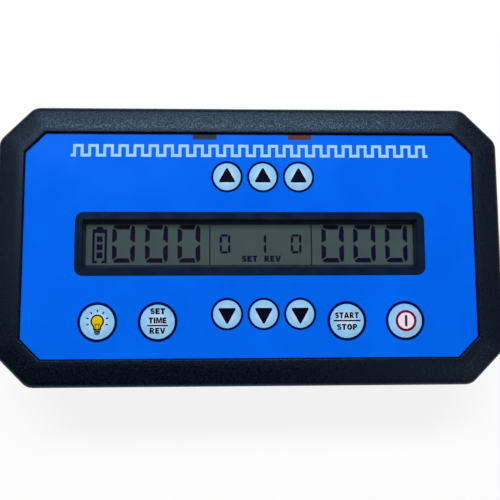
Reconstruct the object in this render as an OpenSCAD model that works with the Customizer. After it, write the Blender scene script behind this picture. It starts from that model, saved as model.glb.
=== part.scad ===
// Presettable revolution and time counter: a battery-powered hand instrument.
// It lies on its back: +X to the reader's right, +Y up the face, +Z out of the face.
// The origin is under the middle of the case, on the surface that the feet stand on.

/* [Case] */
// Width of the bezel at the case's sides
bezel_side = 9.8; // [8.5:0.1:14]
// Width of the bezel at the case's top and bottom
bezel_end = 9.7; // [8.5:0.1:14]
// Leg of the case's cut corners
corner_cut = 11.8; // [10:0.2:14]
// Radius on the edges of the cut corners
corner_r = 5; // [2:0.5:7]
// Thickness of the case walls
wall = 2.5; // [2:0.1:3]
// Narrowing of each wall from the parting line outward
draft = 0.5; // [0.2:0.1:0.8]
// Height of the rear shell
rear_h = 15; // [14.5:0.5:18]
// Height of the front shell, from the parting line to the crest of the bezel
front_h = 20.2; // [19.6:0.1:24]
// Fall of the sloping bezel from its crest to the side wall
bezel_fall = 1.2; // [1:0.1:3]
// Radius between the sloping bezel and the side wall
shoulder_r = 2.2; // [1.2:0.1:3]
// Width of the level crest round the panel
crest_flat = 1.9; // [1:0.1:2]
// Edge break on the inside of the crest
crest_break = 0.6; // [0.3:0.1:0.8]
// Thickness of the tongue that joins the two shells
lip_t = 1.2; // [0.8:0.1:1.4]
// Height of that tongue
lip_h = 1.6; // [1:0.1:2.4]
// Radius of the rear shell's back edge
back_edge = 2.4; // [1.5:0.1:3]

/* [Front panel] */
// Width of the printed overlay
overlay_w = 149.6; // [138:0.2:170]
// Height of the printed overlay
overlay_h = 74.6; // [70:0.2:90]
// Leg of the overlay's cut corners
overlay_cut = 6.6; // [5:0.2:8]
// Thickness of the overlay
overlay_t = 0.5; // [0.3:0.05:0.8]
// Depth of the overlay's face below the crest of the bezel
overlay_drop = 1.2; // [0.9:0.1:2]
// Thickness of the panel under the overlay
panel_t = 2.5; // [2:0.1:3]

/* [Display] */
// Width of the display's bright field
field_w = 110.4; // [100:0.2:118]
// Height of the display's bright field
field_h = 13.6; // [12:0.2:16]
// Clear border beside the field, up to the window's edge
border_x = 0.4; // [0.2:0.1:1]
// Clear border above and below the field
border_y = 1.3; // [0.8:0.1:2]
// Height of the window's middle above the panel's middle
window_y = 0.2; // [-1:0.1:1]
// Corner radius of the window frame
window_r = 2.8; // [1.5:0.1:4]
// Width of the frame's visible rim
window_rim = 2.4; // [2:0.1:2.8]
// Thickness of the clear window
lens_t = 0.8; // [0.6:0.1:1.2]
// How far the display glass runs past the field's short edges
glass_past_x = 2.8; // [2.2:0.1:4]
// How far the display glass runs past the field's long edges
glass_past_y = 4.2; // [3.6:0.1:5]
// Thickness of the display glass
glass_t = 2.2; // [1.6:0.1:2.6]
// Thickness of the polarising film that makes the field
film_t = 0.2; // [0.1:0.05:0.3]

/* [Keys] */
// Diameter of an arrow key
arrow_d = 10.5; // [9:0.1:11.5]
// Diameter of a command key
command_d = 12.8; // [11:0.1:14.5]
// Gap between neighbouring arrow keys
arrow_gap = 1.5; // [0.8:0.1:2.4]
// Place of the middle arrow key across the panel
arrow_x = 4; // [-4:0.5:4]
// Place of the upper arrow row
arrow_up_y = 22.7; // [20:0.1:27]
// Place of the lower arrow row
arrow_down_y = -23; // [-27:0.1:-20]
// Place of the command row
command_y = -25.4; // [-27:0.1:-21]
// Place of the light key across the panel
light_x = -50.1; // [-52:0.1:-46]
// Place of the set key across the panel
set_x = -30.6; // [-32:0.1:-26]
// Place of the start and stop key across the panel
start_x = 31.4; // [31:0.1:34]
// Place of the power key across the panel
power_x = 50.7; // [48.5:0.1:52]
// How far a key goes down
key_travel = 0.3; // [0.2:0.05:0.4]
// How far a key's crown stands proud of the overlay
key_crown = 0.35; // [0.2:0.05:0.6]
// Thickness of a key at its edge
key_edge = 0.2; // [0.15:0.05:0.3]
// Diameter of the stem under a key
stem_d = 5; // [4:0.1:6]
// Side of a switch under a key
switch_side = 6; // [5:0.1:7]
// Height of a switch's body
switch_h = 3.5; // [3:0.1:4]
// Diameter of a switch's plunger
plunger_d = 3.5; // [2.8:0.1:4]

/* [Board] */
// Distance from the panel's underside to the circuit board
board_drop = 7; // [6.6:0.1:8]
// Thickness of the circuit board
board_t = 1.6; // [1:0.1:2]
// Distance from the board's long edges to the case's outside
board_margin = 10; // [9.5:0.5:13]
// Distance from a board screw to the board's edges
board_screw_in = 4; // [3.5:0.1:5]
// Diameter of a board screw's shank
board_screw_d = 1.9; // [1.6:0.1:2.2]

/* [Battery] */
// Diameter of a cell
cell_d = 14.5; // [13.5:0.1:14.8]
// Length of a cell, with its nub
cell_l = 50.5; // [48:0.5:52]
// Room for the contacts at each end of a cell
contact_room = 3.6; // [3:0.1:4.5]
// Thickness of the contact plates
contact_t = 0.4; // [0.3:0.05:0.5]
// Thickness of the bay's walls
bay_wall = 1.5; // [1.2:0.1:2]
// Thickness of the bay's roof
roof_t = 1.2; // [1:0.1:1.6]
// Thickness of the battery door
door_t = 1.6; // [1.4:0.1:2]
// Width of the tongue on each side of the door
door_tongue = 1.4; // [1:0.1:2]

/* [Sockets] */
// Bore of a socket
socket_bore = 4; // [3:0.1:4.4]
// Depth of the bore
socket_depth = 18.5; // [15:0.5:20]
// Place of the black socket across the case
socket_black_x = -15.5; // [-24:0.5:-10]
// Place of the red socket across the case
socket_red_x = 16.5; // [10:0.5:24]
// Diameter of a socket's flange
flange_d = 10; // [9.4:0.1:10.4]
// Thickness of a socket's flange
flange_t = 1.5; // [1.2:0.1:2]
// Diameter of a socket's barrel
barrel_d = 7.8; // [7.2:0.1:8]
// Length of a socket's barrel
barrel_l = 12; // [10:0.5:14]

/* [Fasteners and feet] */
// Distance from a case screw to the side of the case
screw_in_x = 12.5; // [12:0.5:14]
// Distance from a case screw to the top or bottom of the case
screw_in_y = 10.5; // [10.5:0.5:12]
// Diameter of a case screw's shank
screw_d = 2.8; // [2.4:0.1:3]
// Length of a case screw's shank
screw_l = 16; // [13:0.5:18]
// Material of the rear shell under a case screw's head
screw_grip = 7; // [5:0.5:9]
// Height of the feet below the case
foot_h = 2; // [1:0.1:3]
// Diameter of a foot
foot_d = 10; // [8:0.5:11]
// Distance from a foot to the case screw beside it
foot_from_screw = 15; // [11:0.5:22]
// Distance from a foot to the top or bottom of the case
foot_in_y = 10; // [9:0.5:14]

/* [Hidden] */
$fn = 48;
slice_t = 0.01;       // thickness of a section in a lofted solid
over = 1;             // how far a cut runs past the face it opens
seat = 0.5;           // how far a boss is rooted in the wall that carries it
fit = 0.25;           // gap round the overlay, the door and other loose fits
snug = 0.1;           // gap of a close fit
shank_gap = 0.05;     // gap between a screw and the hole that it cuts
arc_steps = 4;        // chords in one rounded corner

// Levels, from the table up
z_back = foot_h;
z_split = z_back + rear_h;
z_crest = z_split + front_h;
z_face = z_crest - overlay_drop;
z_panel = z_face - overlay_t;
z_inside = z_panel - panel_t;
z_board = z_inside - board_drop;
z_board_low = z_board - board_t;

// The case's outline, and the bezel from the shoulder of the side wall up to the crest
case_w = overlay_w + 2 * bezel_side;
case_h = overlay_h + 2 * bezel_end;
shell_in = wall + draft;
crest_out = fit + crest_flat;
diagonal = 2 - sqrt(2);
shoulder = [case_w - 2 * draft, case_h - 2 * draft, corner_cut - draft * diagonal];
crest = [overlay_w + 2 * crest_out, overlay_h + 2 * crest_out, overlay_cut + crest_out * diagonal];
bezel_run = (shoulder[1] - crest[1]) / 2;
bezel_slope = atan(bezel_fall / bezel_run);
shoulder_turn = 90 - bezel_slope;
shoulder_z = z_crest - bezel_fall - shoulder_r * tan(shoulder_turn / 2);

// Keys: name, place and diameter
arrow_pitch = arrow_d + arrow_gap;
COMMANDS = [["light", light_x], ["set", set_x], ["start_stop", start_x], ["power", power_x]];
COLUMNS = [["left", -1], ["middle", 0], ["right", 1]];
ROWS = [["up", arrow_up_y], ["down", arrow_down_y]];
KEYS = concat(
    [for (r = ROWS, c = COLUMNS) [str(r[0], "_", c[0]), [arrow_x + c[1] * arrow_pitch, r[1]], arrow_d]],
    [for (c = COMMANDS) [c[0], [c[1], command_y], command_d]]);
key_gap = 0.15;       // between a key and the edge of its hole in the overlay
stem_gap = 0.35;      // between a stem and the edge of its hole in the panel
z_key = z_panel + key_travel + snug;
stem_past = 0.4;      // how far a stem comes through the panel
z_stem = z_inside - stem_past;
switch_floor = 1.2;   // under the plunger's well

// Display stack, hung under the panel
holder_wall = 1.6;
holder_lip_t = 0.9;
holder_lip_w = 1.2;
holder_gap = 0.3;
z_holder = z_inside - holder_gap;
z_glass = z_holder - holder_lip_t;
z_glass_low = z_glass - glass_t;
skirt_t = 0.9;
ledge_w = 0.25;       // step that the clear window rests on
lens_sink = 0.4;      // the clear window's depth below the frame's rim
rim_rise = 0.1;       // the frame's height above the overlay
film = [field_w, field_h];
glass = film + 2 * [glass_past_x, glass_past_y];
aperture = film + 2 * [border_x, border_y];
window = aperture + 2 * [window_rim, window_rim];
aperture_r = 0.6;
z_lens = z_face - lens_sink;
zebra_t = 2;
zebra_in = 1.6;       // from the glass's short edges

// Board and its fixings
screw_x = case_w / 2 - screw_in_x;
screw_y = case_h / 2 - screw_in_y;
boss_wall = 2.1;
boss_d = screw_d + 2 * boss_wall;
board_w = 2 * (screw_x - boss_d / 2 - 2 * fit);
board_h = case_h - 2 * board_margin;
board_screw_x = board_w / 2 - board_screw_in;
board_screw_y = board_h / 2 - board_screw_in;
board_screw_l = 6.5;
board_head = [4.6, 1.6];
board_bore_past = 0.6;
post_wall = 2;

// Parts on the board's underside: size, and how far in from the board's edges
chip = [14, 14, 1.6];
chip_in = [38, 15];
chip_at = [chip_in[0] - board_w / 2, board_h / 2 - chip_in[1]];
crystal = [11, 4.6, 3.6];
crystal_in = [70, 11];
crystal_at = [crystal_in[0] - board_w / 2, board_h / 2 - crystal_in[1]];
buzzer_d = 17;
buzzer_h = 7;
buzzer_in = [20, 19];
buzzer_at = [board_w / 2 - buzzer_in[0], board_h / 2 - buzzer_in[1]];
capacitor_d = 8;
capacitor_h = 11;
capacitor_in = [18, 13];
capacitor_pitch = 10;
CAPACITORS_AT = [for (i = [0, 1])
    [capacitor_in[0] - board_w / 2, board_h / 2 - capacitor_in[1] - i * capacitor_pitch]];

// Case screws and feet
post_extra = 1.1;     // how far a rear post stands out round the boss that it meets
post_d = boss_d + 2 * post_extra;
head_past = 1.35;     // how far a case screw's head stands out round its shank
head_d = screw_d + 2 * head_past;
head_h = 2;
z_seat = z_split - screw_grip;
bore_past = 2;        // depth of a pilot hole past the screw's tip
foot_sink = 0.6;      // how far a foot is let into the shell
foot_draw_in = 0.4;   // narrowing of a foot towards the table
foot_x = screw_x - foot_from_screw;
foot_y = case_h / 2 - foot_in_y;

// Battery bay, in the lower half of the rear shell
cells = 3;
cell_gap = 0.6;
cell_clear = 0.3;
cell_nub = [5.5, 1];
rail_t = 0.65;        // floor of the shell above the door's tongue
sill_t = 0.75;        // floor of the shell below the door's tongue
floor_t = door_t + fit + rail_t;
bay_x = cell_l / 2 + contact_room;
bay_low = -case_h / 2 + shell_in + fit + bay_wall;
bay_high = bay_low + cells * (cell_d + cell_gap) + cell_gap;
z_cell = z_back + door_t + cell_clear + cell_d / 2;
z_roof = z_cell + cell_d / 2 + cell_clear;
door_cover = 1.2;     // how far the door laps over the bay's edges
door_x = bay_x + door_cover;
door_high = bay_high + door_cover;
tongue_gap = 0.2;
grip_grooves = 5;
grip_pitch = 2.4;
grip_w = 1.2;
grip_l = 24;
grip_deep = 0.5;
function cell_y(i) = bay_low + cell_gap + cell_d / 2 + i * (cell_d + cell_gap);

// Contacts: the terminal tabs come up through the roof
plate_margin = 1.4;
dimple_d = 4.5;
leaf_w = 6;
leaf_h = 9;
leaf_tip = 2;
tab_w = 3;
tab_rise = 0.8;
lead_d = 1.4;
touch = 0.05;         // gap between a contact and its cell
reach = contact_room - contact_t - touch;
// Contact plates: which end, and the first and last cell that each one joins
PLATES = [["right", 0, 0], ["right", 1, 2], ["left", 0, 1], ["left", 2, 2]];
// Terminal tabs: which end, and which cell
TABS = [["right", 0], ["left", 2]];
function side_of(end) = end == "right" ? 1 : -1;

// Sockets, in the top wall of the rear shell
pad_t = 2;            // thickening of the wall behind the sockets
pad_margin = 8;
flange_inset = 0.5;   // the flange's face lies this far inside the case's outline
contact_wall = 0.95;
mouth_gap = 0.3;      // the flange's mouth over the bore's radius
nut_t = 2.5;
nut_gap = 0.1;
nut_wall = 1.4;
nut_across = barrel_d + 2 * nut_wall;
lug_d = 2.2;
lug_l = 5;
contact_end = 1.4;
z_socket = (z_back + floor_t + z_split) / 2;
y_flange = case_h / 2 - flange_inset;
y_wall = y_flange - flange_t;
y_pad = case_h / 2 - shell_in - pad_t;
mouth_deep = 1;       // from the flange's face to the contact's end
y_mouth = y_flange - mouth_deep;
y_lug = y_mouth - socket_depth - contact_end - lug_l;
y_lead = (bay_high + bay_wall + y_lug) / 2;
lead_bend = (y_lug - y_lead) / 2;
lead_run = y_lug - y_lead - lead_bend;
SOCKETS = [["black", socket_black_x, "#17181a"], ["red", socket_red_x, "#b3201e"]];

// Outline of a rectangle with cut corners, each of whose edges is rounded
function octagon(size, r = 0) =
    let (a = size[0] / 2, b = size[1] / 2, c = size[2],
         tips = [[a, b - c], [a - c, b], [c - a, b], [-a, b - c],
                 [-a, c - b], [c - a, -b], [a - c, -b], [a, c - b]])
    [for (i = [0 : 7])
        let (start = 45 * i, mid = start + 22.5,
             centre = tips[i] - r / cos(22.5) * [cos(mid), sin(mid)])
        for (k = [0 : r > 0 ? arc_steps : 0])
            let (turn = r > 0 ? start + 45 * k / arc_steps : mid)
            centre + r * [cos(turn), sin(turn)]];

// Outline of the case, drawn in by a distance
function case_outline(inset) =
    octagon([case_w - 2 * inset, case_h - 2 * inset, corner_cut - inset * diagonal],
            max(corner_r - inset, 0.5));

// Outline of a rectangle with rounded corners
function round_rect(w, h, r) =
    [for (i = [0 : 3], k = [0 : 2 * arc_steps])
        let (turn = 90 * i + 45 * k / arc_steps, sx = i == 0 || i == 3 ? 1 : -1, sy = i < 2 ? 1 : -1)
        [sx * (w / 2 - r), sy * (h / 2 - r)] + r * [cos(turn), sin(turn)]];

// Solid through sections, each given as a height and an outline
module lofted(sections)
    hull()
        for (s = sections)
            translate([0, 0, s[0]])
                linear_extrude(slice_t)
                    polygon(s[1]);

module prism(outline, low, high)
    translate([0, 0, low])
        linear_extrude(high - low)
            polygon(outline);

module block(size, low, high)
    translate([-size[0] / 2, -size[1] / 2, low])
        cube([size[0], size[1], high - low]);

module rod(d, low, high)
    translate([0, 0, low])
        cylinder(d = d, h = high - low);

// Copies at the four corners of a rectangle about the middle
module at_corners(x, y)
    for (sx = [-1, 1], sy = [-1, 1])
        translate([sx * x, sy * y, 0])
            children();

// Copies along the top wall, turned so that +Z runs out of the wall
module at_socket(x, y)
    translate([x, y, z_socket])
        rotate([-90, 0, 0])
            children();

// Outside of the front shell: a drafted wall, a round shoulder and a sloping bezel
module front_outside()
    lofted(concat(
        [[z_split, case_outline(0)]],
        [for (k = [0 : arc_steps])
            let (turn = shoulder_turn * k / arc_steps,
                 t = shoulder_r * (1 - cos(turn)) / bezel_run)
            [shoulder_z + shoulder_r * sin(turn), octagon(shoulder + t * (crest - shoulder), corner_r)]],
        [[z_crest - slice_t, octagon(crest, corner_r - 1)]]));

module front_bosses()
    difference() {
        union() {
            at_corners(screw_x, screw_y)
                rod(boss_d, z_split, z_inside + seat);
            at_corners(board_screw_x, board_screw_y)
                rod(board_screw_d + 2 * post_wall, z_board, z_inside + seat);
        }
        at_corners(screw_x, screw_y)
            rod(screw_d + 2 * shank_gap, z_split - over, z_seat + screw_l + bore_past);
        at_corners(board_screw_x, board_screw_y)
            rod(board_screw_d + 2 * shank_gap, z_board - over,
                z_board_low + board_screw_l + board_bore_past);
    }

module front_shell()
    color("#23282f") {
        difference() {
            front_outside();
            prism(case_outline(shell_in), z_split - over, z_inside);
            prism(case_outline(shell_in - lip_t - snug), z_split - over, z_split + lip_h + fit);
            prism(octagon([overlay_w + 2 * fit, overlay_h + 2 * fit, overlay_cut + fit * diagonal]),
                  z_panel, z_crest + over);
            lofted([
                [z_crest - crest_break, octagon([overlay_w + 2 * fit, overlay_h + 2 * fit, overlay_cut])],
                [z_crest, octagon([overlay_w + 2 * (fit + crest_break),
                                   overlay_h + 2 * (fit + crest_break), overlay_cut])]]);
            translate([0, window_y, 0])
                prism(round_rect(aperture[0] + 2 * (skirt_t + snug), aperture[1] + 2 * (skirt_t + snug),
                                 aperture_r + skirt_t), z_inside - over, z_panel + over);
            for (k = KEYS)
                translate(k[1])
                    rod(stem_d + 2 * stem_gap, z_inside - over, z_panel + over);
        }
        front_bosses();
    }

module graphic_overlay()
    color("#0a63e6")
        difference() {
            prism(octagon([overlay_w, overlay_h, overlay_cut]), z_panel, z_face);
            translate([0, window_y, 0])
                prism(round_rect(window[0] + 2 * snug, window[1] + 2 * snug, window_r + snug),
                      z_panel - over, z_face + over);
            for (k = KEYS)
                translate(k[1])
                    rod(k[2] + 2 * key_gap, z_panel - over, z_face + over);
        }

module window_frame()
    color("#14171c")
        translate([0, window_y, 0])
            difference() {
                union() {
                    prism(round_rect(window[0], window[1], window_r), z_panel, z_face + rim_rise);
                    prism(round_rect(aperture[0] + 2 * skirt_t, aperture[1] + 2 * skirt_t,
                                     aperture_r + skirt_t), z_inside, z_face);
                }
                prism(round_rect(aperture[0], aperture[1], aperture_r),
                      z_lens - lens_t, z_face + over);
                prism(round_rect(aperture[0] - 2 * ledge_w, aperture[1] - 2 * ledge_w, aperture_r),
                      z_inside - over, z_face);
            }

module window_lens()
    color("#c8d2d8", 0.4)
        translate([0, window_y, 0])
            prism(round_rect(aperture[0] - 2 * shank_gap, aperture[1] - 2 * shank_gap, aperture_r),
                  z_lens - lens_t, z_lens);

module lcd_film()
    color("#5d6b62")
        translate([0, window_y, 0])
            block(film, z_glass, z_glass + film_t);

module lcd_glass()
    color("#3a3a48")
        translate([0, window_y, 0])
            block(glass, z_glass_low, z_glass);

module lcd_holder()
    color("#1b1d20")
        translate([0, window_y, 0])
            difference() {
                block([glass[0] + 2 * (holder_wall + snug), glass[1] + 2 * (holder_wall + snug)],
                      z_board, z_holder);
                block([glass[0] + 2 * snug, glass[1] + 2 * snug], z_board - over, z_glass);
                block([glass[0] - 2 * holder_lip_w, glass[1] - 2 * holder_lip_w],
                      z_board - over, z_holder + over);
            }

module lcd_backlight()
    color("#e9ece6")
        translate([0, window_y, 0])
            block([glass[0] - 2 * zebra_in, glass[1] - 2 * (zebra_t + fit)], z_board, z_glass_low);

module zebra_strips()
    color("#d8a9a0")
        translate([0, window_y, 0])
            for (s = [-1, 1])
                translate([0, s * (glass[1] - zebra_t) / 2, 0])
                    block([glass[0] - 2 * zebra_in, zebra_t], z_board, z_glass_low);

// A crowned cap on a stem, which reaches down to the switch's plunger
module key_cap(key)
    color("#9fcbe6")
        translate(key[1]) {
            rotate_extrude()
                polygon(concat(
                    [[0, z_key], [key[2] / 2, z_key]],
                    [for (k = [0 : 2 * arc_steps])
                        let (t = k / (2 * arc_steps))
                        [key[2] / 2 * cos(90 * t),
                         z_key + key_edge + (z_face + key_crown - z_key - key_edge) * sin(90 * t)]]));
            rod(stem_d, z_stem, z_key + key_edge / 2);
        }

module plunger(key)
    color("#2a2a2c")
        translate(key[1])
            rod(plunger_d, z_board + switch_floor + key_travel + snug, z_stem);

module switch_bodies()
    color("#3b3d40")
        for (k = KEYS)
            translate(k[1])
                difference() {
                    block([switch_side, switch_side], z_board, z_board + switch_h);
                    rod(plunger_d + 2 * snug, z_board + switch_floor, z_board + switch_h + over);
                }

module main_board()
    color("#1e6b3c")
        difference() {
            block([board_w, board_h], z_board_low, z_board);
            at_corners(board_screw_x, board_screw_y)
                rod(board_screw_d + 2 * fit, z_board_low - over, z_board + over);
        }

// A box on the board's underside
module under_board(size, at)
    translate(at)
        block([size[0], size[1]], z_board_low - size[2], z_board_low);

module microcontroller()
    color("#202124")
        under_board(chip, chip_at);

module quartz_crystal()
    color("#b9bcc0")
        under_board(crystal, crystal_at);

module piezo_buzzer()
    color("#1a1a1c")
        translate(buzzer_at)
            rod(buzzer_d, z_board_low - buzzer_h, z_board_low);

module board_capacitors()
    color("#2b3a66")
        for (at = CAPACITORS_AT)
            translate(at)
                rod(capacitor_d, z_board_low - capacitor_h, z_board_low);

// A screw that is driven upward, with a cross recess in its head
module screw(d, l, head, seat_z) {
    slot = [head[0] * 0.6, head[0] * 0.16];
    rod(d, seat_z - head[1] / 2, seat_z + l);
    difference() {
        rod(head[0], seat_z - head[1], seat_z);
        for (turn = [0, 90])
            rotate(turn)
                block(slot, seat_z - head[1] - over, seat_z - head[1] * 0.55);
    }
}

module board_screws()
    color("#a8abb0")
        at_corners(board_screw_x, board_screw_y)
            screw(board_screw_d, board_screw_l, board_head, z_board_low);

module case_screws()
    color("#8d9094")
        at_corners(screw_x, screw_y)
            screw(screw_d, screw_l, [head_d, head_h], z_seat);

module rubber_feet()
    color("#1c1c1e")
        at_corners(foot_x, foot_y)
            cylinder(d1 = foot_d - 2 * foot_draw_in, d2 = foot_d, h = foot_h + foot_sink);

// Outside of the rear shell, which the battery door follows too
module rear_outside()
    lofted(concat(
        [for (k = [0 : arc_steps])
            let (turn = 90 * k / arc_steps)
            [z_back + back_edge * (1 - cos(turn)), case_outline(draft + back_edge * (1 - sin(turn)))]],
        [[z_split - slice_t, case_outline(0)]]));

// The slot that the battery door slides in, open at the bottom wall
module door_slot() {
    low = -case_h / 2 - over;
    high = door_high + fit;
    for (s = [[door_x + fit, z_back - over, z_back + sill_t + slice_t],
              [door_x + door_tongue + fit, z_back + sill_t, z_back + door_t + fit]])
        translate([-s[0], low, s[1]])
            cube([2 * s[0], high - low, s[2] - s[1]]);
}

// A box for the cells: rooted in the bottom wall, and clear of the front shell above the parting line
module battery_bay() {
    top = z_roof + roof_t;
    for (b = [[fit + seat, z_back + door_t + fit, min(z_split, top)], [0, min(z_split, top) - seat, top]])
        translate([-bay_x - bay_wall, bay_low - bay_wall - b[0], b[1]])
            cube([2 * (bay_x + bay_wall), bay_high - bay_low + 2 * bay_wall + b[0], b[2] - b[1]]);
}

module rear_shell()
    color("#23282f")
        difference() {
            union() {
                difference() {
                    rear_outside();
                    prism(case_outline(shell_in), z_back + floor_t, z_split + over);
                }
                difference() {
                    prism(case_outline(shell_in - lip_t), z_split - seat, z_split + lip_h);
                    prism(case_outline(shell_in), z_split - over, z_split + lip_h + over);
                }
                at_corners(screw_x, screw_y)
                    rod(post_d, z_back + floor_t - seat, z_split);
                translate([socket_black_x - pad_margin, y_pad, z_back + floor_t - seat])
                    cube([socket_red_x - socket_black_x + 2 * pad_margin, pad_t + seat,
                          rear_h - floor_t + seat]);
                battery_bay();
            }
            at_corners(screw_x, screw_y) {
                rod(head_d + 4 * fit, z_back - over, z_seat);
                rod(screw_d + 2 * fit, z_back, z_split + over);
            }
            at_corners(foot_x, foot_y)
                rod(foot_d + 2 * snug, z_back - over, z_back + foot_sink);
            for (s = SOCKETS) {
                at_socket(s[1], y_wall)
                    cylinder(d = flange_d + 2 * snug, h = flange_t + flange_inset + over);
                at_socket(s[1], y_pad - over)
                    cylinder(d = barrel_d + 2 * snug, h = y_flange - y_pad);
            }
            translate([-bay_x, bay_low, z_back])
                cube([2 * bay_x, bay_high - bay_low, z_roof - z_back]);
            door_slot();
            for (t = TABS)
                translate([side_of(t[0]) * (bay_x - contact_t / 2), cell_y(t[1]), 0])
                    block([contact_t + 2 * fit, tab_w + 2 * fit], z_roof - over, z_roof + roof_t + over);
        }

// A plate with a tongue along each side and finger grooves near its lower end
module battery_door()
    color("#23282f")
        difference() {
            intersection() {
                rear_outside();
                union() {
                    for (s = [[door_x, z_back - over, z_back + door_t],
                              [door_x + door_tongue, z_back + sill_t + tongue_gap, z_back + door_t]])
                        translate([-s[0], -case_h / 2 - over, s[1]])
                            cube([2 * s[0], door_high + case_h / 2 + over, s[2] - s[1]]);
                }
            }
            for (k = [0 : grip_grooves - 1])
                translate([0, bay_low + cell_d / 2 + k * grip_pitch, 0])
                    block([grip_l, grip_w], z_back - over, z_back + grip_deep);
        }

// Cells in series: each one is turned end for end from its neighbour
function cell_turn(i) = i % 2 == 0 ? 1 : -1;

module battery_cell(i)
    color("#3d4148")
        translate([0, cell_y(i), z_cell])
            rotate([0, cell_turn(i) * 90, 0]) {
                translate([0, 0, -cell_l / 2])
                    cylinder(d = cell_d, h = cell_l - cell_nub[1]);
                translate([0, 0, cell_l / 2 - cell_nub[1] - seat])
                    cylinder(d = cell_nub[0], h = cell_nub[1] + seat);
            }

// A bent leaf that bears on a cell's flat end, drawn on the left of the plate
module leaf()
    translate([0, leaf_w / 2, 0])
        rotate([90, 0, 0])
            linear_extrude(leaf_w)
                difference() {
                    polygon([[seat / 4, -leaf_h / 2], [-reach, -leaf_tip / 2],
                             [-reach, leaf_tip / 2], [seat / 4, leaf_h / 2]]);
                    polygon([[0, -leaf_h / 2 + 2 * contact_t], [contact_t - reach, -leaf_tip / 2],
                             [contact_t - reach, leaf_tip / 2], [0, leaf_h / 2 - 2 * contact_t]]);
                }

module contact_plate(side, first, last) {
    low = cell_y(first) - cell_d / 2 + plate_margin;
    high = cell_y(last) + cell_d / 2 - plate_margin;
    half = cell_d / 2 - plate_margin;
    mirror([side > 0 ? 0 : 1, 0, 0])
        translate([bay_x - contact_t, 0, z_cell]) {
            translate([0, low, -half])
                cube([contact_t, high - low, 2 * half]);
            for (i = [first : last])
                translate([0, cell_y(i), 0])
                    if (cell_turn(i) == side)
                        rotate([0, -90, 0])
                            translate([0, 0, -contact_t / 2])
                                cylinder(d = dimple_d, h = reach + contact_t / 2);
                    else
                        leaf();
        }
}

module battery_contacts()
    color("#c9ccd0") {
        for (p = PLATES)
            contact_plate(side_of(p[0]), p[1], p[2]);
        for (t = TABS)
            translate([side_of(t[0]) * (bay_x - contact_t / 2), cell_y(t[1]), 0])
                block([contact_t, tab_w], z_cell, z_roof + roof_t + tab_rise);
    }

module battery_leads()
    color("#b02a22")
        for (t = TABS)
            translate([side_of(t[0]) * (bay_x - contact_t / 2), cell_y(t[1]), 0])
                rod(lead_d, z_roof + roof_t + tab_rise, z_board_low);

module socket_body(x, shade)
    color(shade)
        difference() {
            union() {
                at_socket(x, y_wall)
                    cylinder(d = flange_d, h = flange_t);
                at_socket(x, y_wall - barrel_l)
                    cylinder(d = barrel_d, h = barrel_l + seat);
            }
            at_socket(x, y_wall - barrel_l - over)
                cylinder(d = socket_bore + 2 * (contact_wall + shank_gap),
                         h = y_mouth - y_wall + barrel_l + over);
            at_socket(x, y_mouth - over)
                cylinder(d = socket_bore + 2 * mouth_gap, h = flange_t + 2 * over);
        }

module socket_contact(x)
    color("#c9a24a")
        difference() {
            union() {
                at_socket(x, y_mouth - socket_depth - contact_end)
                    cylinder(d = socket_bore + 2 * contact_wall, h = socket_depth + contact_end);
                at_socket(x, y_lug)
                    cylinder(d = lug_d, h = lug_l + seat);
            }
            at_socket(x, y_mouth - socket_depth)
                cylinder(d = socket_bore, h = socket_depth + over);
        }

module socket_nuts()
    color("#b4b7bb")
        for (s = SOCKETS)
            at_socket(s[1], y_pad - nut_gap - nut_t)
                difference() {
                    cylinder(d = nut_across / cos(30), h = nut_t, $fn = 6);
                    translate([0, 0, -over])
                        cylinder(d = barrel_d + 2 * snug, h = nut_t + 2 * over);
                }

// A wire from a socket's lug, bent once on its way up to the board
module sensor_lead(x, shade)
    color(shade) {
        at_socket(x, y_lug - lead_run)
            cylinder(d = lead_d, h = lead_run);
        translate([x, y_lug - lead_run, z_socket + lead_bend])
            rotate([0, 90, 180])
                rotate_extrude(angle = 90)
                    translate([lead_bend, 0])
                        circle(d = lead_d);
        translate([x, y_lead, 0])
            rod(lead_d, z_socket + lead_bend, z_board_low);
    }

front_shell();
rear_shell();
graphic_overlay();
window_frame();
window_lens();
lcd_film();
lcd_glass();
lcd_holder();
lcd_backlight();
zebra_strips();
main_board();
switch_bodies();
microcontroller();
quartz_crystal();
piezo_buzzer();
board_capacitors();
board_screws();
case_screws();
rubber_feet();
battery_door();
battery_contacts();
battery_leads();
socket_nuts();
for (i = [0 : cells - 1])
    battery_cell(i);
for (s = SOCKETS) {
    socket_body(s[1], s[2]);
    socket_contact(s[1]);
    sensor_lead(s[1], s[2]);
}
for (k = KEYS) {
    key_cap(k);
    plunger(k);
}
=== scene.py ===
# Presettable revolution and time counter: a battery-powered instrument that lies on its back.
# Sizes are in millimetres, in the CAD model's frame: +X right, +Y up the face, +Z out of the face.
import math

import bmesh
import bpy
from mathutils import Matrix, Vector


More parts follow.
